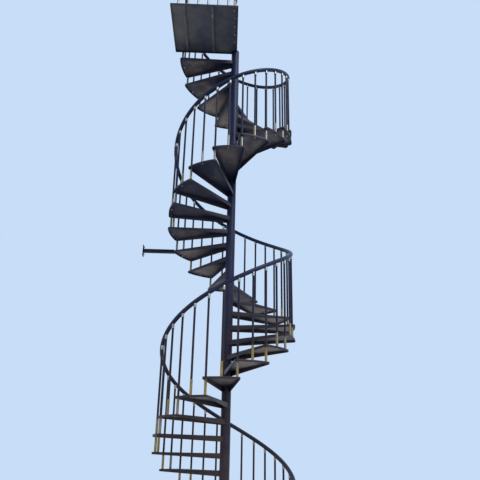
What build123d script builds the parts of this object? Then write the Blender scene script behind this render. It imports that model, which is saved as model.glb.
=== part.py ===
"""Outdoor steel spiral staircase: pan treads on a central tube, helical handrail, square top landing.

Units are millimetres and Z is up. The origin is the middle of the base plate's underside, on the ground.
The flight climbs anticlockwise as seen from above. The landing lies towards -X and -Y of the column.
"""
from build123d import *
import math
import os

# Flight
rise = 190
step_angle = 24
first_angle = 1.94
tread_count = 38

# Column and base
column_diameter = 114.3
column_wall = 6.3
cap_thickness = 5
base_side = 280
base_thickness = 15
base_hole_pitch = 200
base_hole = 18

# Pan treads
tread_radius = 840
tread_half_angle = 14.17
root_half_width = 41.4
plate = 5
rim_depth = 24
root_depth = 63
corner_round = 22
rim_sides = 5

# Balustrade
rail_edge = 38
rail_diameter = 50
rail_height = 1041
rail_overhang = 50
bar_diameter = 25
sleeve_diameter = 32
bar_sides = 8
rail_sides = 12
weld_gap = 0.3

# Landing
landing_left = -920
landing_right = 25
landing_front = -832
landing_back = 0
skirt_depth = 30
stiffener_leg = 40
stiffener_drop = 30
stiffener_wall = 4
stiffener_places = (-713, -316)
guard_side_inset = 42
guard_front_inset = 65
guard_spacing = 140
guard_corner_step = 104
guard_height = 1000
guard_bend = 40
bend_steps = 4

# Wall tie
tie_tread = 22
tie_section = 45
tie_wall = 4
tie_y = 330
wall_x = -1213
wall_plate_width = 70
wall_plate_height = 160
wall_plate_thickness = 8
wall_hole = 14
wall_hole_pitch = 110

# How many nodes the flight is split into, and the way from a tread's middle to its corner, in treads
node_count = 8
half = 1 / 2

column_radius = column_diameter / 2
landing_top = (tread_count + 1) * rise
rail_radius = tread_radius - rail_edge
rail_slope = math.atan2(rise, math.radians(step_angle) * rail_radius)
rail_flat = rail_diameter / 2 * math.cos(math.pi / rail_sides)
corner_sleeve = rise - plate
middle_sleeve = rise - rim_depth
guard_right = landing_right - guard_side_inset
guard_front = landing_front + guard_front_inset
tie_height = tie_tread * rise - rim_depth + tie_section / 2


def tread_angle(number):
    """Direction of a tread's middle, seen from above; tread 0 would lie at ground level."""
    return first_angle + (number - 1) * step_angle


def placed(shape, number, turn=0):
    """Carries a shape from the +X axis at height 0 to the top of a numbered tread."""
    return Pos(0, 0, number * rise) * Rot(0, 0, tread_angle(number) + turn) * shape


def save(name, *solids):
    """Writes one node, with all its separate solids."""
    shape = solids[0] if len(solids) == 1 else Compound(children=list(solids))
    export_step(shape, f"parts/{name}.step")


def softened(before, corner, after):
    """Three points that round a sharp corner off in two flats."""
    back, ahead = (before - corner).normalized(), (after - corner).normalized()
    slant = math.radians(back.get_angle(ahead)) / 2
    reach = corner_round / math.tan(slant)
    middle = corner + (back + ahead).normalized() * (corner_round / math.sin(slant) - corner_round)
    return [corner + back * reach, middle, corner + ahead * reach]


def tread_plan():
    """Plan of a tread: straight sides, rounded corners, and a rim bent in flats round the column."""
    widest = math.radians(tread_half_angle)
    turns = [widest * (2 * side / rim_sides - 1) for side in range(rim_sides + 1)]
    rim = [Vector(tread_radius * math.cos(turn), tread_radius * math.sin(turn)) for turn in turns]
    low_root, high_root = Vector(0, -root_half_width), Vector(0, root_half_width)
    low_corner = softened(low_root, rim[0], rim[1])
    high_corner = softened(rim[-2], rim[-1], high_root)
    outline = Polyline(low_root, *low_corner, *rim[1:-1], *high_corner, high_root, close=True)
    return make_face(outline)


def make_tread():
    """One pan tread: a plate with flanges that deepen towards the column, and a rim at the outer end."""
    plan = tread_plan()
    reach = tread_radius + plate
    deepest = [(column_radius, -root_depth), (0, -root_depth)]
    side = Plane.XZ * Polygon((0, 0), (reach, 0), (reach, -rim_depth), *deepest, align=None)
    body = extrude(plan, -root_depth) & extrude(side, tread_radius, both=True)
    inner = offset(plan, -plate, kind=Kind.INTERSECTION)
    hollow = Pos(0, 0, -plate) * extrude(inner, -root_depth)
    column = Pos(0, 0, -root_depth) * Cylinder(
        column_radius, 2 * root_depth, align=(Align.CENTER, Align.CENTER, Align.MIN)
    )
    return body - hollow - column


def make_bar(foot, rail_centre):
    """One baluster bar on the +X axis, from its foot to the sloping underside of the handrail."""
    tall = rail_centre - foot
    shape = Pos(rail_radius, 0, foot) * extrude(RegularPolygon(bar_diameter / 2, bar_sides), tall)
    normal = Vector(0, -math.sin(rail_slope), math.cos(rail_slope))
    under = Vector(rail_radius, 0, rail_centre) - normal * (rail_diameter / 2 + weld_gap)
    return split(shape, bisect_by=Plane(origin=under, z_dir=normal), keep=Keep.BOTTOM)


def make_sleeve(length):
    """One sleeve at the foot of a baluster."""
    return Pos(rail_radius, 0, 0) * extrude(RegularPolygon(sleeve_diameter / 2, bar_sides), length)


def round_tube(points):
    """A handrail tube through a row of points, mitred at each, with a flat side down at its start."""
    path = Polyline(*points)
    ahead = path % 0
    start = Plane(origin=path @ 0, x_dir=ahead.cross(Vector(0, 0, 1)), z_dir=ahead)
    section = start * Rot(0, 0, 180 / rail_sides) * RegularPolygon(rail_diameter / 2, rail_sides)
    return sweep(section, path=path, transition=Transition.RIGHT)


def rail_point(tread):
    """The handrail's centre over a tread's middle, or over a corner where two treads meet."""
    turn = math.radians(tread_angle(tread))
    return Vector(rail_radius * math.cos(turn), rail_radius * math.sin(turn), tread * rise + rail_height)


def make_rail(low, high):
    """The handrail over one flight, bent at each baluster and joined to the next midway between two."""
    points = [rail_point(low + half * place) for place in range(round((high - low) / half) + 1)]
    before = (rail_point(low - half) + points[0]) / 2
    after = (rail_point(high + half) + points[-1]) / 2
    if low < 1:
        before = points[0] + (points[0] - points[1]).normalized() * rail_overhang
    if high > tread_count:
        after = points[-1] + (points[-1] - points[-2]).normalized() * rail_overhang
    return round_tube([before, *points, after])


def make_column():
    """The central tube, from the base plate to landing level, closed at the top by a welded cap."""
    length = landing_top - base_thickness
    tube = extrude(Circle(column_radius), length)
    bore = extrude(Circle(column_radius - column_wall), length - cap_thickness)
    return Pos(0, 0, base_thickness) * (tube - bore)


def make_base_plate():
    """The square foot plate with its four anchor holes."""
    holes = GridLocations(base_hole_pitch, base_hole_pitch, 2, 2) * Circle(base_hole / 2)
    return extrude(Rectangle(base_side, base_side) - holes, base_thickness)


def landing_box(low, high):
    """A box between two corners, clear of the column tube."""
    size = [b - a for a, b in zip(low, high)]
    shape = Pos(*low) * Box(*size, align=(Align.MIN, Align.MIN, Align.MIN))
    return shape - Cylinder(column_radius, 3 * landing_top)


def make_landing_plate():
    """The rectangular deck, cut away around the column."""
    return landing_box(
        (landing_left, landing_front, landing_top - plate), (landing_right, landing_back, landing_top)
    )


def make_landing_frame():
    """The four flat bars under the edges of the deck."""
    low, high = landing_top - plate - skirt_depth, landing_top - plate
    inner_front, inner_back = landing_front + plate, landing_back - plate
    front = landing_box((landing_left, landing_front, low), (landing_right, inner_front, high))
    back = landing_box((landing_left, inner_back, low), (landing_right, landing_back, high))
    left = landing_box((landing_left, inner_front, low), (landing_left + plate, inner_back, high))
    right = landing_box((landing_right - plate, inner_front, low), (landing_right, inner_back, high))
    return front + back + left + right


def make_stiffener(place):
    """One angle under the deck, with its wider leg flat against the plate."""
    leg, drop, wall = stiffener_leg, stiffener_drop, stiffener_wall
    section = Polygon(
        (0, 0), (-leg, 0), (-leg, -wall), (-wall, -wall), (-wall, -drop), (0, -drop), align=None
    )
    length = landing_back - landing_front - 2 * plate
    bar = extrude(Plane.XZ * section, -length)
    return Pos(place, landing_front + plate, landing_top - plate) * bar


def guard_line():
    """Where the landing's balusters stand: under the rail's bend, then along its front and right edges."""
    inset = guard_bend * (1 - math.cos(math.radians(45)))
    places = [(guard_right - inset, guard_front + inset)]
    x = guard_right - guard_corner_step
    while x > landing_left + rail_diameter:
        places.append((x, guard_front))
        x -= guard_spacing
    y = guard_front + guard_spacing
    while y < landing_back - rail_diameter:
        places.append((guard_right, y))
        y += guard_spacing
    return places


def make_guard_rail():
    """The landing's handrail, bent at the front corner."""
    places = guard_line()
    height = landing_top + guard_height
    left = min(x for x, y in places) - rail_overhang
    back = max(y for x, y in places) + rail_overhang
    points = [(left, guard_front, height)]
    for step in range(bend_steps + 1):
        turn = math.radians(90 * step / bend_steps)
        x = guard_right - guard_bend * (1 - math.sin(turn))
        y = guard_front + guard_bend * (1 - math.cos(turn))
        points.append((x, y, height))
    points.append((guard_right, back, height))
    return round_tube(points)


def make_tie():
    """The square tube to the wall, its end cut to the rim of the tread that it holds."""
    length = -wall_x - wall_plate_thickness
    overlap = math.sqrt(tread_radius**2 - tie_y**2) - tie_section
    hollow = tie_section - 2 * tie_wall
    ring = Plane.YZ * (Rectangle(tie_section, tie_section) - Rectangle(hollow, hollow))
    bar = Pos(-length, tie_y, tie_height) * extrude(ring, length - overlap)
    return bar - placed(extrude(tread_plan(), 2 * tie_section, both=True), tie_tread)


def make_wall_plate():
    """The upright plate on the wall with a fixing hole above and below the tube."""
    holes = GridLocations(1, wall_hole_pitch, 1, 2) * Circle(wall_hole / 2)
    face = Rectangle(wall_plate_width, wall_plate_height) - holes
    return Pos(wall_x, tie_y, tie_height) * extrude(Plane.YZ * face, wall_plate_thickness)


os.makedirs("parts", exist_ok=True)

tread = make_tread()
middle_bar = make_bar(middle_sleeve, rail_height)
corner_bar = make_bar(rise, rail_height + rise * half)
middle_tube = make_sleeve(middle_sleeve)
corner_tube = make_sleeve(corner_sleeve)

last = 0
for node in range(node_count):
    first = last + 1
    last += tread_count // node_count + (node < tread_count % node_count)
    numbers = range(first, last + 1)
    corners = numbers if first > 1 else range(last + 1)
    label = f"{first:02d}_{last:02d}"
    save(f"treads_{label}", *[placed(tread, k) for k in numbers])
    bars = [placed(middle_bar, k) for k in numbers]
    bars += [placed(corner_bar, k, step_angle * half) for k in corners]
    save(f"balusters_{label}", *bars)
    tubes = [placed(middle_tube, k) for k in numbers]
    tubes += [placed(corner_tube, k, step_angle * half) for k in corners]
    save(f"sleeves_{label}", *tubes)
    save(f"handrail_{label}", make_rail(first if first > 1 else half, last + half))

save("column", make_column())
save("base_plate", make_base_plate())

save("landing_plate", make_landing_plate())
save("landing_frame", make_landing_frame())
save("landing_stiffeners", *[make_stiffener(place) for place in stiffener_places])
guard_bar = extrude(
    RegularPolygon(bar_diameter / 2, bar_sides), guard_height - middle_sleeve - rail_flat - weld_gap
)
guard_tube = extrude(RegularPolygon(sleeve_diameter / 2, bar_sides), middle_sleeve)
save("landing_balusters", *[Pos(x, y, landing_top + middle_sleeve) * guard_bar for x, y in guard_line()])
save("landing_sleeves", *[Pos(x, y, landing_top) * guard_tube for x, y in guard_line()])
save("landing_handrail", make_guard_rail())
save("wall_tie_bar", make_tie())
save("wall_tie_plate", make_wall_plate())
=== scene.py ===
"""Outdoor steel spiral staircase, dressed piece by piece in the order in which it is put together."""
import math

import bmesh
import bpy
from mathutils import Matrix, Vector


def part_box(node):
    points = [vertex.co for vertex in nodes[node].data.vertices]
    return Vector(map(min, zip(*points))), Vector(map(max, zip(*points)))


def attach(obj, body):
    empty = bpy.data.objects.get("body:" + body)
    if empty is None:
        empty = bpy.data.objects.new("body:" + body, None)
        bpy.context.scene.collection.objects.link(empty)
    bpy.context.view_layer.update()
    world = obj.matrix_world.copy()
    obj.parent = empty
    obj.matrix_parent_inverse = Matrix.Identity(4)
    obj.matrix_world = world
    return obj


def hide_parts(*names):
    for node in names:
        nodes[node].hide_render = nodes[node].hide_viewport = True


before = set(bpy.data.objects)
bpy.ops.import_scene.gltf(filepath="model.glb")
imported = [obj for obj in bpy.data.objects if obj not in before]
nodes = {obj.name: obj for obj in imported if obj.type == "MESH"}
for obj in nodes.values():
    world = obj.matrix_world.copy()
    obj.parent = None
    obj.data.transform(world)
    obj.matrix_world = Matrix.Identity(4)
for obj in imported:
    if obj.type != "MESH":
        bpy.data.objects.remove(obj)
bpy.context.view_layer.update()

# Base plate and anchors
# A square steel plate lies on the ground, and the column is welded to it all round.
# Four zinc-plated studs with washers and nuts hold it down.
ANCHOR_SQUARE = 0.200
base_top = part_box("base_plate")[1].z


def linear(code):
    """An sRGB hex colour as linear RGBA."""
    parts = [int(code[i:i + 2], 16) / 255 for i in (1, 3, 5)]
    return [c / 12.92 if c <= 0.04045 else ((c + 0.055) / 1.055) ** 2.4 for c in parts] + [1.0]


def material(name):
    """A new node material; returns it with its tree and its principled shader."""
    made = bpy.data.materials.new(name)
    made.use_nodes = True
    return made, made.node_tree, made.node_tree.nodes["Principled BSDF"]


def add(tree, kind, settings=None, **links):
    """Adds one node, sets its properties, and fills or links its inputs by name."""
    node = tree.nodes.new(kind)
    for key, value in (settings or {}).items():
        setattr(node, key, value)
    for key, value in links.items():
        socket = node.inputs[int(key[1:])] if key[1:].isdigit() else node.inputs[key.replace("_", " ")]
        if isinstance(value, bpy.types.NodeSocket):
            tree.links.new(value, socket)
        else:
            socket.default_value = value
    return node


def shades(tree, pattern, low, high, colours):
    """One hex colour where a pattern is at or below low, running into another where it is at or above high."""
    share = add(tree, "ShaderNodeMapRange", _0=pattern, _1=low, _2=high, _3=0.0, _4=1.0).outputs[0]
    first, last = (linear(code) for code in colours)
    return add(tree, "ShaderNodeMix", {"data_type": "RGBA"}, _0=share, _6=first, _7=last).outputs[2]


def satin_paint(name, side, under, dust, patch_mm=180, rough=0.42, shine=0.2, grip=None, light_underneath=None):
    """Brushed enamel on mild steel: near-black and uneven, with chips, rain streaks, dust and, low down, a painted
    brown reflection.

    side, under and dust are pairs of shades for what stands upright, faces down and faces up.
    grip gives the raised bars on top, and hollow says where painted light and dust lie underneath and where painted
    shade lies.
    """
    made, tree, shader = material(name)
    place = add(tree, "ShaderNodeTexCoord").outputs["Object"]
    height = add(tree, "ShaderNodeSeparateXYZ", _0=place).outputs["Z"]
    facing = add(tree, "ShaderNodeSeparateXYZ", _0=add(tree, "ShaderNodeNewGeometry").outputs["Normal"]).outputs["Z"]
    down = add(tree, "ShaderNodeMapRange", _0=facing, _1=-0.25, _2=-0.85, _3=0.0, _4=1.0).outputs[0]
    up = add(tree, "ShaderNodeMapRange", _0=facing, _1=0.55, _2=0.95, _3=0.0, _4=1.0).outputs[0]

    # Patches as wide as the brush was worked, orange peel of 9 mm, rain runs 24 mm wide, and chips of a few mm.
    broad = add(
        tree, "ShaderNodeTexNoise", Vector=place, Scale=1000 / patch_mm, Detail=6.0, Roughness=0.62
    ).outputs["Fac"]
    fine = add(tree, "ShaderNodeTexNoise", Vector=place, Scale=1000 / 9, Detail=3.0).outputs["Fac"]
    runs = add(tree, "ShaderNodeMapping", Vector=place, Scale=(1000 / 24, 1000 / 24, 1000 / 260)).outputs[0]
    streak = add(tree, "ShaderNodeTexNoise", Vector=runs, Scale=1.0, Detail=4.0).outputs["Fac"]
    chip = add(tree, "ShaderNodeTexNoise", Vector=place, Scale=1000 / 30, Detail=8.0, Roughness=0.7).outputs["Fac"]

    # A painted brown reflection lies in patches up to about 4 m, and rain has washed some of the dust down the sides.
    body = shades(tree, broad, 0.3, 0.7, side)
    brown_reflection = add(tree, "ShaderNodeMapRange", _0=height, _1=1.8, _2=4.2, _3=0.9, _4=0.0).outputs[0]
    reflection_patches = add(tree, "ShaderNodeMapRange", _0=broad, _1=0.38, _2=0.58, _3=0.45, _4=1.0).outputs[0]
    brown_reflection = add(tree, "ShaderNodeMath", {"operation": "MULTIPLY"}, _0=brown_reflection, _1=reflection_patches).outputs[0]
    body = add(tree, "ShaderNodeMix", {"data_type": "RGBA"}, _0=brown_reflection, _6=body, _7=linear("#3a2b26")).outputs[2]
    washed = add(tree, "ShaderNodeMapRange", _0=streak, _1=0.52, _2=0.72, _3=0.0, _4=0.5).outputs[0]
    body = add(tree, "ShaderNodeMix", {"data_type": "RGBA"}, _0=washed, _6=body, _7=linear(dust[0])).outputs[2]

    # W only picks which run of the wide pattern is used: one whose patches of painted light and dust underneath lie
    # where the real ones do.
    wide = add(
        tree, "ShaderNodeTexNoise", {"noise_dimensions": "4D"}, Vector=place, W=-0.3, Scale=1000 / (3 * patch_mm),
        Detail=2.0,
    ).outputs["Fac"]
    clouds = add(tree, "ShaderNodeMath", {"operation": "ADD"}, _0=broad, _1=wide).outputs[0]
    clouds = add(tree, "ShaderNodeMapRange", _0=clouds, _1=0.8, _2=1.25, _3=0.0, _4=1.0).outputs[0]
    # Under the treads this keeps painted light and dust to the middle, and leaves painted shade along the folds and by
    # the column.
    if light_underneath:
        clouds = add(tree, "ShaderNodeMath", {"operation": "ADD"}, _0=clouds, _1=0.15).outputs[0]
        clouds = add(tree, "ShaderNodeMath", {"operation": "MULTIPLY"}, _0=clouds, _1=light_underneath(tree, place)).outputs[0]
    below = shades(tree, clouds, 0.1, 0.9, under)
    above = shades(tree, broad, 0.32, 0.7, dust)
    lower = add(tree, "ShaderNodeMix", {"data_type": "RGBA"}, _0=down, _6=body, _7=below).outputs[2]
    whole = add(tree, "ShaderNodeMix", {"data_type": "RGBA"}, _0=up, _6=lower, _7=above).outputs[2]
    worn = add(tree, "ShaderNodeMapRange", _0=chip, _1=0.66, _2=0.7, _3=0.0, _4=0.8).outputs[0]
    whole = add(tree, "ShaderNodeMix", {"data_type": "RGBA"}, _0=worn, _6=whole, _7=linear("#5c4a3d")).outputs[2]

    relief = add(tree, "ShaderNodeBump", Height=fine, Strength=0.07, Distance=0.001).outputs["Normal"]
    if grip:
        bars = grip(tree, place, up)
        relief = add(
            tree, "ShaderNodeBump", Height=bars, Strength=1.0, Distance=0.0012, Normal=relief
        ).outputs["Normal"]
        rubbed = add(tree, "ShaderNodeMath", {"operation": "MULTIPLY"}, _0=bars, _1=0.55).outputs[0]
        whole = add(tree, "ShaderNodeMix", {"data_type": "RGBA"}, _0=rubbed, _6=whole, _7=linear("#8b8781")).outputs[2]
    pits = add(
        tree, "ShaderNodeBump", {"invert": True}, Height=worn, Strength=0.3, Distance=0.0005, Normal=relief
    ).outputs["Normal"]
    gloss = add(tree, "ShaderNodeMapRange", _0=fine, _1=0.3, _2=0.7, _3=rough - 0.07, _4=rough + 0.1).outputs[0]
    gloss = add(tree, "ShaderNodeMath", {"operation": "ADD", "use_clamp": True}, _0=gloss, _1=worn).outputs[0]
    tree.links.new(whole, shader.inputs["Base Color"])
    tree.links.new(gloss, shader.inputs["Roughness"])
    tree.links.new(pits, shader.inputs["Normal"])
    shader.inputs["Specular IOR Level"].default_value = shine
    return made


def bright_metal(name, light, dark, rough, grey_tone=None):
    """Bright metal or plating with duller patches; with a grey tone, greyed on some pieces and most from 4 m up."""
    made, tree, shader = material(name)
    place = add(tree, "ShaderNodeTexCoord").outputs["Object"]
    cloud = add(tree, "ShaderNodeTexNoise", Vector=place, Scale=1000 / 22, Detail=5.0, Roughness=0.65).outputs["Fac"]
    colour = shades(tree, cloud, 0.32, 0.62, (dark, light))
    if grey_tone:
        grey_share = add(tree, "ShaderNodeTexNoise", Vector=place, Scale=1000 / 330, Detail=1.0).outputs["Fac"]
        height = add(tree, "ShaderNodeSeparateXYZ", _0=place).outputs["Z"]
        higher_up = add(tree, "ShaderNodeMapRange", _0=height, _1=3.4, _2=4.6, _3=-0.05, _4=0.17).outputs[0]
        grey_share = add(tree, "ShaderNodeMath", {"operation": "ADD"}, _0=grey_share, _1=higher_up).outputs[0]
        grey_share = add(tree, "ShaderNodeMapRange", _0=grey_share, _1=0.42, _2=0.66, _3=0.0, _4=0.85).outputs[0]
        colour = add(tree, "ShaderNodeMix", {"data_type": "RGBA"}, _0=grey_share, _6=colour, _7=linear(grey_tone)).outputs[2]
    gloss = add(tree, "ShaderNodeMapRange", _0=cloud, _1=0.3, _2=0.7, _3=rough + 0.15, _4=rough).outputs[0]
    relief = add(tree, "ShaderNodeBump", Height=cloud, Strength=0.08, Distance=0.001).outputs["Normal"]
    tree.links.new(colour, shader.inputs["Base Color"])
    tree.links.new(gloss, shader.inputs["Roughness"])
    tree.links.new(relief, shader.inputs["Normal"])
    shader.inputs["Metallic"].default_value = 1.0
    return made


def dress(piece, made):
    """Gives a piece one material all over."""
    piece.data.materials.clear()
    piece.data.materials.append(made)


def alone(*pieces):
    """Selects these pieces and nothing else, the first one active."""
    bpy.ops.object.select_all(action="DESELECT")
    for piece in pieces:
        piece.select_set(True)
    bpy.context.view_layer.objects.active = pieces[0]


def settle(piece, name, angle=35):
    """Names a piece, puts its place into its mesh and smooths its round faces."""
    piece.name = name
    piece.data.name = name
    alone(piece)
    bpy.ops.object.transform_apply(location=True, rotation=True, scale=True)
    bpy.ops.object.shade_smooth_by_angle(angle=math.radians(angle))
    return piece


def bevelled(piece, width, segments=2, angle=30):
    """Rounds a piece's sharp edges."""
    edge = piece.modifiers.new("edge", "BEVEL")
    edge.width = width
    edge.segments = segments
    edge.limit_method = "ANGLE"
    edge.angle_limit = math.radians(angle)
    alone(piece)
    bpy.ops.object.modifier_apply(modifier="edge")
    return piece


def joined(pieces, name):
    """Joins pieces into one and settles it."""
    alone(*pieces)
    if len(pieces) > 1:
        bpy.ops.object.join()
    return settle(bpy.context.view_layer.objects.active, name)


def copied(pattern, place):
    """A copy of a pattern, with its own mesh, at a place given as a matrix."""
    copy = pattern.copy()
    copy.data = pattern.data.copy()
    bpy.context.scene.collection.objects.link(copy)
    copy.matrix_world = place @ pattern.matrix_world
    return copy


def hex_fastener(across, height, washer, stud=0.0):
    """A washer of a given radius, a hexagon nut or head so far across its flats, and its stud's end, up from z = 0."""
    thick = 0.0025
    bpy.ops.mesh.primitive_cylinder_add(vertices=20, radius=washer, depth=thick, location=(0, 0, thick / 2))
    ring = bpy.context.object
    bpy.ops.mesh.primitive_cylinder_add(
        vertices=6, radius=across / math.sqrt(3), depth=height, location=(0, 0, thick + height / 2)
    )
    head = bevelled(bpy.context.object, across * 0.06)
    parts = [ring, head]
    if stud:
        bpy.ops.mesh.primitive_cylinder_add(
            vertices=14, radius=across * 0.31, depth=height + stud, location=(0, 0, thick + (height + stud) / 2)
        )
        parts.append(bevelled(bpy.context.object, across * 0.05))
    return joined(parts, "fastener")


# Satin enamel, brushed on in place: near-black, tinted navy as a painted sky reflection, with a painted brown
# reflection near the ground.
column_paint = satin_paint(
    "satin_enamel_column", ("#0f1632", "#1a2244"), ("#1f1d20", "#2d2a2b"), ("#2c2c30", "#3f3d3e"), 240, 0.44, 0.2
)
# Zinc plating: small pale glints on the nuts and bolts.
zinc = bright_metal("zinc_plated_steel", "#c4c0b6", "#8d877b", 0.38)
dress(nodes["base_plate"], column_paint)
anchor = hex_fastener(0.024, 0.013, 0.015, 0.022)
half = ANCHOR_SQUARE / 2
anchors = joined(
    [copied(anchor, Matrix.Translation((x, y, base_top))) for x in (-half, half) for y in (-half, half)],
    "anchor_bolts",
)
dress(anchors, zinc)
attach(anchors, "root")

# Central column
# A 114 mm steel tube with a welded cap, painted in place after the treads were welded on.
# The weld at its foot is a small fillet all round.
COLUMN_RADIUS = 0.05715
FOOT_WELD = 0.006
column_low, column_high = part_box("column")
bpy.ops.mesh.primitive_cylinder_add(
    vertices=64, radius=COLUMN_RADIUS, depth=column_high.z - column_low.z,
    location=(0, 0, (column_high.z + column_low.z) / 2),
)
column = settle(bevelled(bpy.context.object, 0.002), "column_tube")
dress(column, column_paint)
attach(column, "root")
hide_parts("column")

bpy.ops.mesh.primitive_torus_add(
    major_radius=COLUMN_RADIUS, minor_radius=FOOT_WELD, major_segments=48, minor_segments=10,
    location=(0, 0, column_low.z),
)
foot_weld = settle(bpy.context.object, "foot_weld")
dress(foot_weld, column_paint)
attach(foot_weld, "root")

# Pan treads
# Each is one 5 mm plate with its side flanges and rim folded down, deeper at the column than at the rim.
# The outer corners are rounded, and the root is welded to the column along the plate and down both folds.
RISE = 0.190
STEP = math.radians(24)
TREAD_RADIUS = 0.840
HALF_ANGLE = math.radians(14.17)
ROOT_HALF = 0.0414
PLATE = 0.005
RIM_DEPTH, ROOT_DEPTH = 0.024, 0.063
CORNER_ROUND = 0.022
FIRST_ANGLE = math.radians(1.94)
FLIGHTS = ((1, 5), (6, 10), (11, 15), (16, 20), (21, 25), (26, 30), (31, 34), (35, 38))
TREAD_COUNT = 38


def at_tread(number, turn=0.0):
    """Carries a shape from the +X axis at height 0 to the top of a numbered tread."""
    angle = FIRST_ANGLE + (number - 1) * STEP + turn
    return Matrix.Translation((0, 0, number * RISE)) @ Matrix.Rotation(angle, 4, "Z")


def flange_depth(x):
    """How deep the folded sides are at a distance along the tread."""
    share = (x - COLUMN_RADIUS) / (TREAD_RADIUS + PLATE - COLUMN_RADIUS)
    return ROOT_DEPTH + (RIM_DEPTH - ROOT_DEPTH) * min(max(share, 0.0), 1.0)


def tread_pattern():
    """One tread on the +X axis, its top at height 0."""
    tip_x, tip_y = TREAD_RADIUS * math.cos(HALF_ANGLE), TREAD_RADIUS * math.sin(HALF_ANGLE)
    slope = (tip_y - ROOT_HALF) / tip_x
    a, b, c = 1 + slope**2, 2 * slope * ROOT_HALF, ROOT_HALF**2 - COLUMN_RADIUS**2
    root_x = (-b + math.sqrt(b * b - 4 * a * c)) / (2 * a)
    root_y = ROOT_HALF + slope * root_x

    # A flat wedge from the column to the rim, its two outer corners rounded.
    bpy.ops.mesh.primitive_plane_add(size=1)
    pan = bpy.context.object
    bpy.ops.object.mode_set(mode="EDIT")
    mesh = bmesh.from_edit_mesh(pan.data)
    for v in mesh.verts:
        side = 1 if v.co.y > 0 else -1
        v.co = (tip_x, side * tip_y, 0) if v.co.x > 0 else (root_x, side * root_y, 0)
    bmesh.update_edit_mesh(pan.data)
    bpy.ops.mesh.select_mode(type="VERT")
    bpy.ops.mesh.select_all(action="DESELECT")
    for v in mesh.verts:
        v.select = v.co.x > tip_x - 0.01
    mesh.select_flush_mode()
    bpy.ops.mesh.bevel(offset=CORNER_ROUND, affect="VERTICES", segments=6)

    # The rim's and the root's edges are divided and laid on their circles.
    for cuts, outer in ((16, True), (10, False)):
        bpy.ops.mesh.select_mode(type="EDGE")
        bpy.ops.mesh.select_all(action="DESELECT")
        mesh = bmesh.from_edit_mesh(pan.data)
        for e in mesh.edges:
            ends = [v.co for v in e.verts]
            flat = abs(ends[0].x - ends[1].x) < 1e-5
            e.select = flat and (ends[0].x > 0.5) == outer and abs(ends[0].y - ends[1].y) > 0.05
        bpy.ops.mesh.subdivide(number_cuts=cuts)
    mesh = bmesh.from_edit_mesh(pan.data)
    for v in mesh.verts:
        if abs(v.co.x - root_x) < 1e-5 and abs(v.co.y) < root_y - 1e-5:
            v.co.x = math.sqrt(COLUMN_RADIUS**2 - v.co.y**2)
        elif abs(v.co.x - tip_x) < 1e-4:
            v.co.x = math.sqrt(TREAD_RADIUS**2 - v.co.y**2)
    bmesh.update_edit_mesh(pan.data)

    # All edges but the root's are folded down, and the sheet then gets its thickness.
    bpy.ops.mesh.select_all(action="DESELECT")
    mesh = bmesh.from_edit_mesh(pan.data)
    for e in mesh.edges:
        middle = (e.verts[0].co + e.verts[1].co) / 2
        e.select = e.is_boundary and math.hypot(middle.x, middle.y) > COLUMN_RADIUS + 0.002
    bpy.ops.mesh.extrude_region_move(TRANSFORM_OT_translate={"value": (0, 0, -0.01)})
    mesh = bmesh.from_edit_mesh(pan.data)
    for v in mesh.verts:
        if v.co.z < -0.001:
            v.co.z = -flange_depth(v.co.x)
    bmesh.update_edit_mesh(pan.data)
    bpy.ops.mesh.select_all(action="SELECT")
    bpy.ops.mesh.normals_make_consistent(inside=False)
    bpy.ops.object.mode_set(mode="OBJECT")
    wall = pan.modifiers.new("wall", "SOLIDIFY")
    wall.thickness = PLATE
    wall.offset = -1
    wall.use_even_offset = True
    alone(pan)
    bpy.ops.object.modifier_apply(modifier="wall")
    return bevelled(pan, 0.0014)


def chequer_bars(tree, place, up):
    """The raised bars of chequer plate, lying two ways by turns on a 20 mm grid, only where the plate faces up."""
    turned = add(
        tree, "ShaderNodeMapping", Vector=place, Rotation=(0, 0, math.radians(45)), Scale=(1000 / 20,) * 3
    ).outputs[0]
    cell = add(tree, "ShaderNodeVectorMath", {"operation": "FLOOR"}, _0=turned).outputs[0]
    inside = add(tree, "ShaderNodeVectorMath", {"operation": "FRACTION"}, _0=turned).outputs[0]
    inside = add(tree, "ShaderNodeVectorMath", {"operation": "SUBTRACT"}, _0=inside, _1=(0.5, 0.5, 0.5)).outputs[0]
    inside = add(tree, "ShaderNodeVectorMath", {"operation": "ABSOLUTE"}, _0=inside).outputs[0]
    row = add(tree, "ShaderNodeSeparateXYZ", _0=cell)
    spot = add(tree, "ShaderNodeSeparateXYZ", _0=inside)
    total = add(tree, "ShaderNodeMath", {"operation": "ADD"}, _0=row.outputs[0], _1=row.outputs[1]).outputs[0]
    odd = add(tree, "ShaderNodeMath", {"operation": "FLOORED_MODULO"}, _0=total, _1=2.0).outputs[0]
    long_way = add(tree, "ShaderNodeMix", _0=odd, _2=spot.outputs[0], _3=spot.outputs[1]).outputs[0]
    short_way = add(tree, "ShaderNodeMix", _0=odd, _2=spot.outputs[1], _3=spot.outputs[0]).outputs[0]
    along = add(tree, "ShaderNodeMapRange", _0=long_way, _1=0.38, _2=0.5, _3=1.0, _4=0.0).outputs[0]
    thin = add(tree, "ShaderNodeMapRange", _0=short_way, _1=0.06, _2=0.16, _3=1.0, _4=0.0).outputs[0]
    bar = add(tree, "ShaderNodeMath", {"operation": "MULTIPLY"}, _0=along, _1=thin).outputs[0]
    return add(tree, "ShaderNodeMath", {"operation": "MULTIPLY"}, _0=bar, _1=up).outputs[0]


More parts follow.
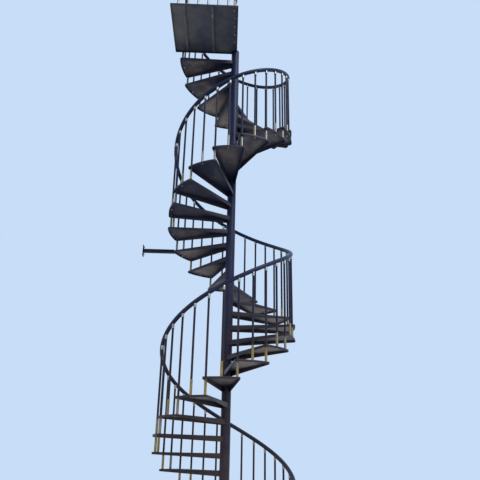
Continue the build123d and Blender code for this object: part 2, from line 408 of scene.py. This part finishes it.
def tread_underside_light_and_shade(tree, place):
    """1 in the middle of each tread's underside, where painted light falls and dust lies, and 0 along its folds and
    next to the column, where painted shade lies.
    """
    spot = add(tree, "ShaderNodeSeparateXYZ", _0=place)
    bearing = add(tree, "ShaderNodeMath", {"operation": "ARCTAN2"}, _0=spot.outputs[1], _1=spot.outputs[0]).outputs[0]
    number = add(tree, "ShaderNodeMath", {"operation": "DIVIDE"}, _0=spot.outputs[2], _1=RISE).outputs[0]
    number = add(tree, "ShaderNodeMath", {"operation": "CEIL"}, _0=number).outputs[0]
    back = add(
        tree, "ShaderNodeMath", {"operation": "MULTIPLY_ADD"}, _0=number, _1=-STEP, _2=STEP - FIRST_ANGLE
    ).outputs[0]
    away = add(tree, "ShaderNodeMath", {"operation": "ADD"}, _0=bearing, _1=back).outputs[0]
    flat = add(tree, "ShaderNodeCombineXYZ", X=spot.outputs[0], Y=spot.outputs[1]).outputs[0]
    reach = add(tree, "ShaderNodeVectorMath", {"operation": "LENGTH"}, _0=flat).outputs["Value"]
    sine = add(tree, "ShaderNodeMath", {"operation": "SINE"}, _0=away).outputs[0]
    sine = add(tree, "ShaderNodeMath", {"operation": "ABSOLUTE"}, _0=sine).outputs[0]
    off = add(tree, "ShaderNodeMath", {"operation": "MULTIPLY"}, _0=sine, _1=reach).outputs[0]
    half = add(tree, "ShaderNodeMath", {"operation": "MULTIPLY_ADD"}, _0=reach, _1=0.2, _2=ROOT_HALF).outputs[0]
    share = add(tree, "ShaderNodeMath", {"operation": "DIVIDE"}, _0=off, _1=half).outputs[0]
    inner = add(tree, "ShaderNodeMapRange", _0=share, _1=0.5, _2=0.95, _3=1.0, _4=0.15).outputs[0]
    root = add(tree, "ShaderNodeMapRange", _0=reach, _1=0.2, _2=0.5, _3=0.0, _4=1.0).outputs[0]
    rim = add(tree, "ShaderNodeMapRange", _0=reach, _1=0.72, _2=0.83, _3=1.0, _4=0.3).outputs[0]
    inner = add(tree, "ShaderNodeMath", {"operation": "MULTIPLY"}, _0=inner, _1=root).outputs[0]
    inner = add(tree, "ShaderNodeMath", {"operation": "MULTIPLY"}, _0=inner, _1=rim).outputs[0]

    # Painted shade: the treads from about 4.2 to 5.1 m up get less of the painted light underneath than those under
    # and over them.
    lower = add(tree, "ShaderNodeMapRange", _0=spot.outputs[2], _1=3.9, _2=4.55, _3=1.0, _4=0.3).outputs[0]
    upper = add(tree, "ShaderNodeMapRange", _0=spot.outputs[2], _1=4.8, _2=5.3, _3=0.0, _4=0.7).outputs[0]
    light_by_height = add(tree, "ShaderNodeMath", {"operation": "ADD"}, _0=lower, _1=upper).outputs[0]
    return add(tree, "ShaderNodeMath", {"operation": "MULTIPLY"}, _0=inner, _1=light_by_height).outputs[0]


# The same enamel, older: underneath, painted shade makes the folds and the column's side blue-black, and painted light
# with dust gives a grey-brown middle; the bars of the chequer plate are rubbed pale by feet.
tread_paint = satin_paint(
    "satin_enamel_treads", ("#241f28", "#383340"), ("#1d2338", "#80736a"), ("#2f2d30", "#4f4b47"), 340, 0.46, 0.22,
    chequer_bars, tread_underside_light_and_shade
)
pan = tread_pattern()

# The weld at the root: a bead along the plate on the tread's side of the column, and one down each fold.
WELD = 0.0045
ROOT_TURN = math.radians(56)
bpy.ops.mesh.primitive_torus_add(
    major_radius=COLUMN_RADIUS, minor_radius=WELD, major_segments=60, minor_segments=8, location=(0, 0, 0)
)
weld = bpy.context.object
bpy.ops.object.mode_set(mode="EDIT")
bpy.ops.mesh.select_all(action="DESELECT")
mesh = bmesh.from_edit_mesh(weld.data)
for v in mesh.verts:
    v.select = abs(math.atan2(v.co.y, v.co.x)) > ROOT_TURN
mesh.select_flush_mode()
bpy.ops.mesh.delete(type="VERT")
bpy.ops.object.mode_set(mode="OBJECT")
beads = [weld]
for turn in (-ROOT_TURN, ROOT_TURN):
    bpy.ops.mesh.primitive_cylinder_add(
        vertices=8, radius=WELD, depth=ROOT_DEPTH,
        location=(COLUMN_RADIUS * math.cos(turn), COLUMN_RADIUS * math.sin(turn), -ROOT_DEPTH / 2),
    )
    beads.append(bevelled(bpy.context.object, 0.0015))
weld = joined(beads, "root_weld")
for low, high in FLIGHTS:
    label = f"{low:02d}_{high:02d}"
    pieces = [copied(pan, at_tread(k)) for k in range(low, high + 1)]
    pieces += [copied(weld, at_tread(k)) for k in range(low, high + 1)]
    flight = joined(pieces, f"pans_{label}")
    dress(flight, tread_paint)
    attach(flight, "root")
    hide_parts(f"treads_{label}")

# Sleeves
# A drawn brass tube round the foot of each baluster, with a rolled rim at each end, clamped between the treads.
# The one at each tread's middle is as tall as the gap to the rim above; the corner ones fill the whole gap.
RAIL_RADIUS = 0.802
SLEEVE_RADIUS = 0.016
MIDDLE_SLEEVE = RISE - RIM_DEPTH
CORNER_SLEEVE = RISE - PLATE


def sleeve_pattern(height):
    """One sleeve on the +X axis, its foot at height 0."""
    bpy.ops.mesh.primitive_cylinder_add(
        vertices=20, radius=SLEEVE_RADIUS - 0.0016, depth=height, location=(RAIL_RADIUS, 0, height / 2)
    )
    tube = bpy.context.object
    parts = [tube]
    for z in (0.003, height - 0.003):
        bpy.ops.mesh.primitive_torus_add(
            major_radius=SLEEVE_RADIUS - 0.003, minor_radius=0.003, major_segments=20, minor_segments=8,
            location=(RAIL_RADIUS, 0, z),
        )
        parts.append(bpy.context.object)
    return joined(parts, "sleeve")


# Drawn brass, lacquered: dull gold low down, and dulled to grey on most sleeves higher up.
brass = bright_metal("lacquered_brass", "#b39557", "#78643d", 0.34, "#86888a")
middle_tube = sleeve_pattern(MIDDLE_SLEEVE)
corner_tube = sleeve_pattern(CORNER_SLEEVE)
for low, high in FLIGHTS:
    label = f"{low:02d}_{high:02d}"
    corners = range(0 if low == 1 else low, high + 1)
    pieces = [copied(middle_tube, at_tread(k)) for k in range(low, high + 1)]
    pieces += [copied(corner_tube, at_tread(k, STEP / 2)) for k in corners]
    group = joined(pieces, f"brass_sleeves_{label}")
    dress(group, brass)
    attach(group, "root")
    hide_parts(f"sleeves_{label}")

# Balusters
# Round steel bars, 25 mm across, painted near black. Each stands in its sleeve and is welded under the handrail,
# with a short bright collar at the top.
BAR_RADIUS = 0.0125
RAIL_HEIGHT = 1.041
BAR_IN_SLEEVE, BAR_IN_RAIL = 0.004, 0.005
COLLAR_RADIUS, COLLAR_HEIGHT = 0.0155, 0.052


def bar_pattern(foot, top):
    """One bar on the +X axis, from its foot to inside the handrail."""
    bpy.ops.mesh.primitive_cylinder_add(
        vertices=20, radius=BAR_RADIUS, depth=top - foot, location=(RAIL_RADIUS, 0, (top + foot) / 2)
    )
    return settle(bpy.context.object, "bar")


def collar_pattern(rail_centre):
    """One turned collar on the +X axis, just under the handrail: a short tube with a bead at its foot."""
    top = rail_centre - 0.018
    bpy.ops.mesh.primitive_cylinder_add(
        vertices=20, radius=COLLAR_RADIUS, depth=COLLAR_HEIGHT, location=(RAIL_RADIUS, 0, top - COLLAR_HEIGHT / 2)
    )
    tube = bevelled(bpy.context.object, 0.001)
    bpy.ops.mesh.primitive_torus_add(
        major_radius=COLLAR_RADIUS - 0.001, minor_radius=0.003, major_segments=20, minor_segments=8,
        location=(RAIL_RADIUS, 0, top - COLLAR_HEIGHT + 0.003),
    )
    return joined([tube, bpy.context.object], "collar")


# The enamel on the thin bars: the darkest of all, near-black with a navy tint that is a painted sky reflection.
bar_paint = satin_paint(
    "satin_enamel_bars", ("#0a1029", "#121b3c"), ("#14151f", "#20222c"), ("#1b1f2d", "#2a2d3a"), 120, 0.42, 0.2
)
# Nickel plating: a pale dot at the top of each bar.
nickel = bright_metal("nickel_plated_brass", "#c4c1b4", "#85827a", 0.36)
middle_bar = bar_pattern(MIDDLE_SLEEVE - BAR_IN_SLEEVE, RAIL_HEIGHT - BAR_IN_RAIL)
corner_bar = bar_pattern(RISE, RAIL_HEIGHT + RISE / 2 - BAR_IN_RAIL)
middle_collar = collar_pattern(RAIL_HEIGHT)
corner_collar = collar_pattern(RAIL_HEIGHT + RISE / 2)
for low, high in FLIGHTS:
    label = f"{low:02d}_{high:02d}"
    corners = range(0 if low == 1 else low, high + 1)
    bars = [copied(middle_bar, at_tread(k)) for k in range(low, high + 1)]
    bars += [copied(corner_bar, at_tread(k, STEP / 2)) for k in corners]
    group = joined(bars, f"round_bars_{label}")
    dress(group, bar_paint)
    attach(group, "root")
    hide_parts(f"balusters_{label}")
    collars = [copied(middle_collar, at_tread(k)) for k in range(low, high + 1)]
    collars += [copied(corner_collar, at_tread(k, STEP / 2)) for k in corners]
    group = joined(collars, f"collars_{label}")
    dress(group, nickel)
    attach(group, "root")

# Fixings under the treads
# A zinc-plated nut and washer holds each middle baluster from below, just inside the rim.
# The end of the baluster's stud stands out of it.
nut = hex_fastener(0.017, 0.008, 0.013, 0.006)
nut.matrix_world = Matrix.Translation((RAIL_RADIUS, 0, -PLATE)) @ Matrix.Rotation(math.pi, 4, "X")
for low, high in FLIGHTS:
    group = joined([copied(nut, at_tread(k)) for k in range(low, high + 1)], f"tread_nuts_{low:02d}_{high:02d}")
    dress(group, zinc)
    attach(group, "root")

# Handrail of the flight
# A 50 mm round steel tube rolled to the helix and welded on top of the balusters.
# It runs 50 mm past the first and the last of them, and a shallow dome closes each end.
RAIL_TUBE = 0.025
OVERHANG = 0.050
climb = math.atan2(RISE, STEP * RAIL_RADIUS)
start_turn = FIRST_ANGLE - STEP / 2 - OVERHANG * math.cos(climb) / RAIL_RADIUS
end_turn = FIRST_ANGLE + (TREAD_COUNT - 0.5) * STEP + OVERHANG * math.cos(climb) / RAIL_RADIUS


def rail_height_at(turn):
    """Height of the handrail's centre where its direction from the column is a given turn."""
    return RISE * (1 + (turn - FIRST_ANGLE) / STEP) + RAIL_HEIGHT


bpy.ops.mesh.primitive_circle_add(
    vertices=24, radius=RAIL_TUBE, location=(RAIL_RADIUS, 0, 0), rotation=(math.pi / 2 + climb, 0, 0)
)
rail = bpy.context.object
bpy.ops.object.transform_apply(location=True, rotation=True, scale=True)
sweep = rail.modifiers.new("sweep", "SCREW")
sweep.axis = "Z"
sweep.angle = end_turn - start_turn
sweep.screw_offset = rail_height_at(end_turn) - rail_height_at(start_turn)
sweep.steps = sweep.render_steps = 230
alone(rail)
bpy.ops.object.modifier_apply(modifier="sweep")
rail.matrix_world = Matrix.Translation((0, 0, rail_height_at(start_turn))) @ Matrix.Rotation(start_turn, 4, "Z")
bpy.ops.object.transform_apply(location=True, rotation=True, scale=True)


def capped(tube):
    """Closes both open ends of a tube with a shallow dome."""
    alone(tube)
    bpy.ops.object.mode_set(mode="EDIT")
    bpy.ops.mesh.select_mode(type="EDGE")
    bpy.ops.mesh.select_all(action="SELECT")
    bpy.ops.mesh.remove_doubles(threshold=1e-5)
    bpy.ops.mesh.select_all(action="DESELECT")
    bpy.ops.mesh.select_non_manifold()
    bpy.ops.mesh.edge_face_add()
    bpy.ops.mesh.select_all(action="SELECT")
    bpy.ops.mesh.normals_make_consistent(inside=False)
    bpy.ops.object.mode_set(mode="OBJECT")
    return bevelled(tube, 0.006, 3, 60)


# The enamel on the handrail, kept smooth by hands: near-black, tinted navy as a painted sky reflection, with a soft
# broad sheen.
rail_paint = satin_paint(
    "satin_enamel_handrail", ("#0c1839", "#16274d"), ("#10162a", "#1a2238"), ("#182136", "#273249"), 150, 0.38, 0.18
)
rail = settle(capped(rail), "helical_rail", 50)
dress(rail, rail_paint)
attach(rail, "root")
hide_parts(*[f"handrail_{low:02d}_{high:02d}" for low, high in FLIGHTS])

# Landing deck
# A chequer plate on a frame of flat bars, level with the column's top. Two steel angles stiffen it from below,
# stitch-welded along both edges and each held by one bolt.
ANGLE_LEG, ANGLE_THICK = 0.040, 0.004
STITCH_PLACES = (-0.78, -0.60, -0.42, -0.24, -0.06)
STITCH, STITCH_LENGTH = 0.004, 0.032
ANGLE_BOLTS = ((-0.733, -0.172), (-0.330, -0.659))
# Enamel gone dull with dust: an almost even dark grey from below, blue-grey where less of the dust lies.
landing_paint = satin_paint(
    "satin_enamel_landing", ("#171b2a", "#252938"), ("#343744", "#585657"), ("#2f2d30", "#4f4b47"), 320, 0.46, 0.22,
    chequer_bars
)
# The enamel on the angles: a little paler than the deck.
angle_paint = satin_paint(
    "paler_enamel_on_angles", ("#25252c", "#35353a"), ("#494a53", "#646268"), ("#3a3733", "#56514a"), 160, 0.48, 0.22
)
for name in ("landing_plate", "landing_frame"):
    dress(nodes[name], landing_paint)
dress(nodes["landing_stiffeners"], angle_paint)
plate_low, plate_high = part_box("landing_plate")
deck = plate_high.z

angle_low, angle_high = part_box("landing_stiffeners")
angle_edges = (angle_low.x, angle_low.x + ANGLE_LEG, angle_high.x - ANGLE_LEG, angle_high.x)
under_deck = plate_low.z
stitches = []
for x in angle_edges:
    for y in STITCH_PLACES:
        bpy.ops.mesh.primitive_cylinder_add(
            vertices=8, radius=STITCH, depth=STITCH_LENGTH, location=(x, y, under_deck), rotation=(math.pi / 2, 0, 0)
        )
        stitches.append(bevelled(bpy.context.object, 0.0018))
stitches = joined(stitches, "landing_stitch_welds")
dress(stitches, landing_paint)
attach(stitches, "root")

angle_bolt = hex_fastener(0.019, 0.0085, 0.014, 0.007)
angle_bolt.matrix_world = Matrix.Rotation(math.pi, 4, "X")
angle_bolts = joined(
    [copied(angle_bolt, Matrix.Translation((x, y, under_deck - ANGLE_THICK))) for x, y in ANGLE_BOLTS], "angle_bolts"
)
dress(angle_bolts, zinc)
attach(angle_bolts, "root")

# Landing balustrade
# The same bars, sleeves and collars as on the flight stand along the front and right edges.
# The 50 mm handrail is bent at the corner to a radius of 40 mm, right above the corner baluster.
GUARD_HEIGHT = 1.0
BEND = 0.040
SIDE_INSET, FRONT_INSET = 0.042, 0.065
CORNER_STEP, SPACING = 0.104, 0.140
POSTS_A_SIDE = 6
right_x, front_y = plate_high.x - SIDE_INSET, plate_low.y + FRONT_INSET
front_posts = [(right_x - CORNER_STEP - SPACING * i, front_y) for i in range(POSTS_A_SIDE)]
side_posts = [(right_x, front_y + SPACING * i) for i in range(POSTS_A_SIDE)]
cut_in = BEND * (1 - math.cos(math.radians(45)))
side_posts[0] = (right_x - cut_in, front_y + cut_in)
posts = front_posts + side_posts
back_to_axis = Matrix.Translation((-RAIL_RADIUS, 0, 0))
guard_bar = bar_pattern(MIDDLE_SLEEVE - BAR_IN_SLEEVE, GUARD_HEIGHT - BAR_IN_RAIL)
guard_collar = collar_pattern(GUARD_HEIGHT)
for pattern, name, finish, slot, node, places in (
    (middle_tube, "landing_brass_sleeves", brass, "sleeve_brass", "landing_sleeves", posts),
    (guard_bar, "landing_round_bars", bar_paint, "baluster_paint", "landing_balusters", posts),
    (guard_collar, "landing_collars", nickel, "sleeve_brass", None, posts),
    (nut, "landing_nuts", zinc, "baluster_paint", None, side_posts[:-1]),
):
    group = joined([copied(pattern, Matrix.Translation((x, y, deck)) @ back_to_axis) for x, y in places], name)
    dress(group, finish)
    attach(group, "root")
    if node:
        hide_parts(node)

guard_low, guard_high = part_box("landing_handrail")
guard_z = deck + GUARD_HEIGHT
bpy.ops.mesh.primitive_circle_add(
    vertices=24, radius=RAIL_TUBE, location=(guard_low.x, front_y, guard_z), rotation=(0, math.pi / 2, 0)
)
guard = bpy.context.object
bpy.ops.object.transform_apply(location=True, rotation=True, scale=True)
bpy.ops.object.mode_set(mode="EDIT")
bpy.ops.mesh.select_all(action="SELECT")
bpy.ops.mesh.extrude_region_move(TRANSFORM_OT_translate={"value": (right_x - BEND - guard_low.x, 0, 0)})
bpy.ops.mesh.spin(
    steps=10, angle=-math.pi / 2, center=(right_x - BEND, front_y + BEND, guard_z), axis=(0, 0, 1)
)
bpy.ops.mesh.extrude_region_move(TRANSFORM_OT_translate={"value": (0, guard_high.y - front_y - BEND, 0)})
bpy.ops.object.mode_set(mode="OBJECT")
guard = settle(capped(guard), "landing_rail", 50)
dress(guard, rail_paint)
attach(guard, "root")
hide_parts("landing_handrail")

# Wall tie
# A square steel tube, welded to the rim of one tread and to a small drilled plate at its other end.
# The plate takes one anchor above the tube and one below it.
TIE_ANCHOR_PITCH = 0.110
# The enamel on the tie: dull and near-black, with few highlights and a navy tint that is a painted sky reflection.
tie_paint = satin_paint(
    "satin_enamel_wall_tie", ("#0b1127", "#161d38"), ("#14161f", "#20222b"), ("#20232f", "#343744"), 90, 0.5, 0.14
)
for name in ("wall_tie_bar", "wall_tie_plate"):
    dress(nodes[name], tie_paint)
end_low, end_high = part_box("wall_tie_plate")
end_middle = (end_low + end_high) / 2
tie_anchor = hex_fastener(0.018, 0.009, 0.012, 0.008)
tie_anchor.matrix_world = Matrix.Rotation(math.pi / 2, 4, "Y")
tie_anchors = joined(
    [
        copied(tie_anchor, Matrix.Translation((end_high.x, end_middle.y, end_middle.z + z)))
        for z in (-TIE_ANCHOR_PITCH / 2, TIE_ANCHOR_PITCH / 2)
    ],
    "wall_anchors",
)
dress(tie_anchors, zinc)
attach(tie_anchors, "root")

# The patterns that the pieces were copied from aren't part of the stair.
for pattern in (
    anchor, pan, weld, middle_tube, corner_tube, middle_bar, corner_bar, middle_collar, corner_collar, nut,
    angle_bolt, guard_bar, guard_collar, tie_anchor,
):
    bpy.data.objects.remove(pattern)

# Floor, light and background
# A pale floor under a soft even light, with one broad lamp from the upper right.
# Far from the stair the floor fades into a plain pale-blue background, against which thin dark bars show well.
FLOOR_SIZE = 120
FADE_FROM, FADE_TO = 4.0, 22.0
BACKGROUND = "#c8ddf7"
LAMP_FROM = Vector((0.55, -0.5, 0.75))


def plainly_seen(tree):
    """1 for rays from the camera and for those off shiny or through clear things; the light on the stair has none."""
    path = add(tree, "ShaderNodeLightPath").outputs
    seen = add(
        tree, "ShaderNodeMath", {"operation": "MAXIMUM"}, _0=path["Is Camera Ray"], _1=path["Is Glossy Ray"]
    ).outputs[0]
    return add(
        tree, "ShaderNodeMath", {"operation": "MAXIMUM"}, _0=seen, _1=path["Is Transmission Ray"]
    ).outputs[0]


bpy.ops.mesh.primitive_plane_add(size=FLOOR_SIZE, location=(0, 0, 0))
floor = bpy.context.object
floor.name = "floor"
# Matt pale paint, which shows the stair's soft shadow.
floor_paint, floor_tree, shader = material("pale_floor")
shader.inputs["Base Color"].default_value = linear("#dfe2e6")
shader.inputs["Roughness"].default_value = 0.85
spot = add(floor_tree, "ShaderNodeTexCoord").outputs["Object"]
away = add(floor_tree, "ShaderNodeVectorMath", {"operation": "LENGTH"}, _0=spot).outputs["Value"]
far = add(
    floor_tree, "ShaderNodeMapRange", {"interpolation_type": "SMOOTHSTEP"}, _0=away, _1=FADE_FROM, _2=FADE_TO,
    _3=0.0, _4=1.0,
).outputs[0]
far = add(floor_tree, "ShaderNodeMath", {"operation": "MULTIPLY"}, _0=far, _1=plainly_seen(floor_tree)).outputs[0]
haze = add(floor_tree, "ShaderNodeEmission", Color=linear(BACKGROUND), Strength=1.0).outputs[0]
blended = add(floor_tree, "ShaderNodeMixShader", _0=far, _1=shader.outputs[0], _2=haze).outputs[0]
floor_tree.links.new(blended, floor_tree.nodes["Material Output"].inputs["Surface"])
dress(floor, floor_paint)

world = bpy.data.worlds.new("studio")
bpy.context.scene.world = world
world.use_nodes = True
air = world.node_tree
air.nodes.clear()
light = add(air, "ShaderNodeBackground", _0=linear("#eef2f8"), Strength=0.75).outputs[0]
shown = add(air, "ShaderNodeBackground", _0=linear(BACKGROUND), Strength=1.0).outputs[0]
mixed = add(air, "ShaderNodeMixShader", _0=plainly_seen(air), _1=light, _2=shown).outputs[0]
add(air, "ShaderNodeOutputWorld", Surface=mixed)

lamp = bpy.data.objects.new("broad_lamp", bpy.data.lights.new("broad_lamp", "SUN"))
bpy.context.scene.collection.objects.link(lamp)
lamp.data.energy = 1.7
lamp.data.angle = math.radians(25)
lamp.rotation_euler = LAMP_FROM.to_track_quat("Z", "Y").to_euler()

# Camera
# At standing eye height, 6 m before the column and tilted up.
# The lens and the upward shift frame the upper flights as in the photograph, 480 pixels wide and high.
EYE = (0, -5.956, 1.483)
YAW, PITCH, ROLL = 0.0238, 0.3276, 0.0191
FRAME, FOCAL, LEVEL_ROW = 480, 487.166, 291.375
SENSOR = 36
ahead = Vector((math.sin(YAW) * math.cos(PITCH), math.cos(YAW) * math.cos(PITCH), math.sin(PITCH)))
level = Vector((math.cos(YAW), -math.sin(YAW), 0))
upright = level.cross(ahead)
right = math.cos(ROLL) * level + math.sin(ROLL) * upright
top = -math.sin(ROLL) * level + math.cos(ROLL) * upright
camera = bpy.data.objects.new("camera", bpy.data.cameras.new("camera"))
bpy.context.scene.collection.objects.link(camera)
camera.matrix_world = Matrix.Translation(EYE) @ Matrix((right, top, -ahead)).transposed().to_4x4()
camera.data.sensor_width = SENSOR
camera.data.lens = FOCAL / FRAME * SENSOR
camera.data.shift_y = (LEVEL_ROW - FRAME / 2) / FRAME
bpy.context.scene.camera = camera
bpy.context.scene.view_settings.view_transform = "Standard"
